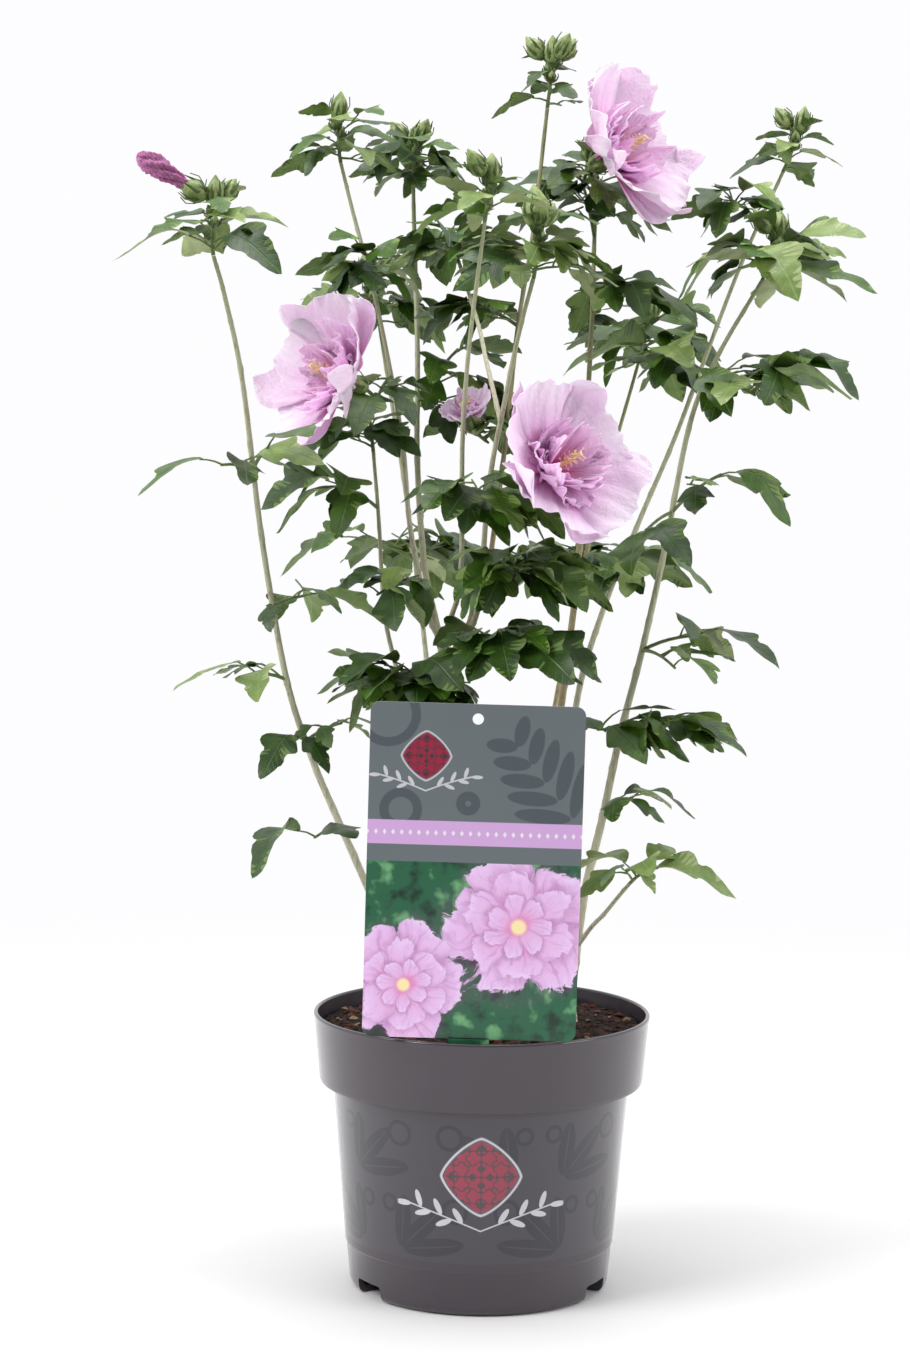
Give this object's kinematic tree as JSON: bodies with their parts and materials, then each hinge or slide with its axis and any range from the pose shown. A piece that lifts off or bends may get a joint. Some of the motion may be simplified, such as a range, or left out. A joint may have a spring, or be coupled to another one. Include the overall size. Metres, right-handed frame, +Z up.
{
  "type": "potted hibiscus shrub",
  "caption": "Upright flowering hibiscus shrub with slender leafy stems and lilac double blooms, in a taupe nursery pot with a plain picture card behind the rim.",
  "frame": {"origin": "centre of the pot's flat underside", "axes": "+Z up along the pot's axis, -Y towards the side with the picture card, +X to the right seen from that side"},
  "size_m": [0.408, 0.3395, 0.7088],
  "materials": {
    "pot": "satin taupe-grey moulded plastic",
    "soil": "dark moist peat with bark chips",
    "card": "printed thin plastic card",
    "bark": "grey-beige young bark, green towards the tips",
    "foliage": "dark green leaves with a slight gloss",
    "petal": "soft lilac petals"
  },
  "bodies": {
    "root": {"pot": "pot", "soil": "soil", "picture_card": "card", "stem_left": "bark", "stem_centre": "bark", "bough_left_back": "bark", "bough_right_front": "bark", "bough_front": "bark", "bough_inner": "bark", "stem_brown": "bark", "stem_right_back": "bark", "stem_right": "bark", "bough_top": "bark", "stem_thin": "bark", "shoot_low": "bark", "stem_back_left": "bark", "stem_back_right": "bark", "foliage_left_top": "foliage", "foliage_left_back_top": "foliage", "foliage_centre_top": "foliage", "foliage_front_top": "foliage", "foliage_right_front_top": "foliage", "foliage_inner_top": "foliage", "foliage_top_top": "foliage", "foliage_brown_top": "foliage", "foliage_right_back_top": "foliage", "foliage_right_top": "foliage", "foliage_thin_top": "foliage", "foliage_low_top": "foliage", "foliage_back_left_top": "foliage", "foliage_back_right_top": "foliage", "foliage_left_low": "foliage", "foliage_left_low_inner": "foliage", "foliage_left_mid": "foliage", "foliage_left_mid_inner": "foliage", "foliage_left_high": "foliage", "foliage_thin_high": "foliage", "foliage_left_back_high": "foliage", "foliage_bloom_left": "petal", "foliage_centre_high": "foliage", "foliage_centre_low": "foliage", "foliage_centre_left": "foliage", "foliage_front_mid": "foliage", "foliage_right_front_low": "foliage", "foliage_right_front_foot": "foliage", "foliage_bloom_front": "petal", "foliage_bloom_inner": "petal", "foliage_bloom_top": "petal", "foliage_brown_high": "foliage", "foliage_brown_low": "foliage", "foliage_top_mid": "foliage", "foliage_right_back_high": "foliage", "foliage_right_back_mid": "foliage", "foliage_right_high": "foliage", "foliage_right_mid": "foliage", "foliage_right_low": "foliage", "foliage_right_foot": "foliage", "foliage_back_left_low": "foliage", "foliage_back_right_low": "foliage", "foliage_right_base": "foliage"}
  },
  "joints": []
}
